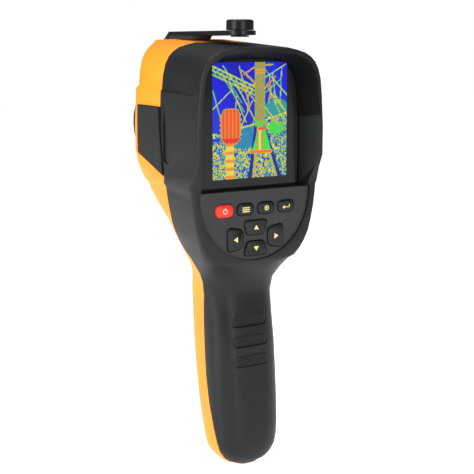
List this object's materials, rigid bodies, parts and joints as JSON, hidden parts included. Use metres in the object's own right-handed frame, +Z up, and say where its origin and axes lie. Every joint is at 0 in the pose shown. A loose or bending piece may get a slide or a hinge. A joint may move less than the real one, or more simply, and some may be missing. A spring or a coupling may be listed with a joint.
{
  "type": "handheld thermal imaging camera",
  "caption": "Pistol-grip thermal imaging camera with a hooded portrait screen, keypad, round lens end under a flip cover and a removable battery door.",
  "frame": {"origin": "middle of the grip, on the handle axis, 60 mm above the bottom of the handle", "axes": "+X to the right of a user who looks at the screen, +Y forward along the lens, +Z up"},
  "size_m": [0.075, 0.085, 0.232],
  "materials": {
    "dark_housing": "fine-grained soft-touch dark grey, satin",
    "yellow_housing": "fine-grained orange-yellow, satin",
    "black_plastic": "fine-grained black, satin",
    "soft_panel": "soft dark rubber, matt",
    "keypad_face": "smooth mid grey, satin",
    "dark_key": "soft dark rubber with pale yellow symbols",
    "red_key": "soft red rubber with a pale symbol",
    "window": "clear window with a black border, showing a false-colour picture",
    "lens": "coated germanium, dark mirror",
    "lens_metal": "black anodised",
    "steel": "plain",
    "sensor_metal": "gold plated",
    "board": "green solder mask",
    "cell": "shrink sleeve"
  },
  "bodies": {
    "camera_body": {"rear_housing": "dark_housing", "front_housing": "yellow_housing", "right_side_panel": "soft_panel", "screen_window": "window", "lcd_module": "steel", "keypad_faceplate": "keypad_face", "keypad_board": "board", "main_board": "board", "sensor_board": "board", "port_board": "board", "trigger_board": "board", "front_bezel": "black_plastic", "ir_lens_barrel": "lens_metal", "ir_lens": "lens", "lens_retaining_ring": "lens_metal", "ir_sensor_module": "sensor_metal", "camera_window": "window", "camera_module": "black_plastic", "cover_hinge_pin": "steel", "usb_socket": "steel", "card_socket": "steel", "battery_holder": "black_plastic", "battery_cell": "cell", "battery_spring": "steel", "battery_contact": "steel", "trigger_pin": "steel", "trigger_switch": "black_plastic", "housing_screw_1": "steel", "housing_screw_2": "steel", "housing_screw_3": "steel", "housing_screw_4": "steel", "housing_screw_5": "steel", "board_screw_1": "steel", "board_screw_2": "steel", "board_screw_3": "steel", "board_screw_4": "steel"},
    "lens_cover": {"lens_cover": "black_plastic", "lens_cover_plug": "black_plastic"},
    "port_cover": {"port_cover": "soft_panel"},
    "battery_door": {"battery_door": "black_plastic"},
    "trigger": {"trigger": "black_plastic"},
    "memory_card": {"memory_card": "black_plastic"},
    "power_button": {"power_button": "red_key"},
    "menu_button": {"menu_button": "dark_key"},
    "select_button": {"select_button": "dark_key"},
    "enter_button": {"enter_button": "dark_key"},
    "up_button": {"up_button": "dark_key"},
    "down_button": {"down_button": "dark_key"},
    "left_button": {"left_button": "dark_key"},
    "right_button": {"right_button": "dark_key"}
  },
  "joints": [
    {"name": "power_press", "type": "slide", "parent": "camera_body", "child": "power_button", "axis": [0, 1, 0], "range_m": [0, 0.0008], "stiffness_N_per_m": 800},
    {"name": "menu_press", "type": "slide", "parent": "camera_body", "child": "menu_button", "axis": [0, 1, 0], "range_m": [0, 0.0008], "stiffness_N_per_m": 800},
    {"name": "select_press", "type": "slide", "parent": "camera_body", "child": "select_button", "axis": [0, 1, 0], "range_m": [0, 0.0008], "stiffness_N_per_m": 800},
    {"name": "enter_press", "type": "slide", "parent": "camera_body", "child": "enter_button", "axis": [0, 1, 0], "range_m": [0, 0.0008], "stiffness_N_per_m": 800},
    {"name": "up_press", "type": "slide", "parent": "camera_body", "child": "up_button", "axis": [0, 1, 0], "range_m": [0, 0.0008], "stiffness_N_per_m": 800},
    {"name": "down_press", "type": "slide", "parent": "camera_body", "child": "down_button", "axis": [0, 1, 0], "range_m": [0, 0.0008], "stiffness_N_per_m": 800},
    {"name": "left_press", "type": "slide", "parent": "camera_body", "child": "left_button", "axis": [0, 1, 0], "range_m": [0, 0.0008], "stiffness_N_per_m": 800},
    {"name": "right_press", "type": "slide", "parent": "camera_body", "child": "right_button", "axis": [0, 1, 0], "range_m": [0, 0.0008], "stiffness_N_per_m": 800},
    {"name": "trigger_pull", "type": "hinge", "parent": "camera_body", "child": "trigger", "pos_m": [0, 0.0098, 0.0588], "axis": [-1, 0, 0], "range_deg": [0, 5], "stiffness_Nm_per_rad": 0.5},
    {"name": "lens_cover_flip", "type": "hinge", "parent": "camera_body", "child": "lens_cover", "pos_m": [0, 0.0535, 0.161], "axis": [-1, 0, 0], "range_deg": [0, 270]},
    {"name": "port_cover_swing", "type": "hinge", "parent": "camera_body", "child": "port_cover", "pos_m": [-0.0364, 0.0371, 0.116], "axis": [0, 0, -1], "range_deg": [0, 100]},
    {"name": "battery_door_lift", "type": "slide", "parent": "camera_body", "child": "battery_door", "axis": [0, 1, 0], "range_m": [0, 0.03]},
    {"name": "memory_card_eject", "type": "slide", "parent": "camera_body", "child": "memory_card", "axis": [-1, 0, 0], "range_m": [0, 0.0006]}
  ]
}
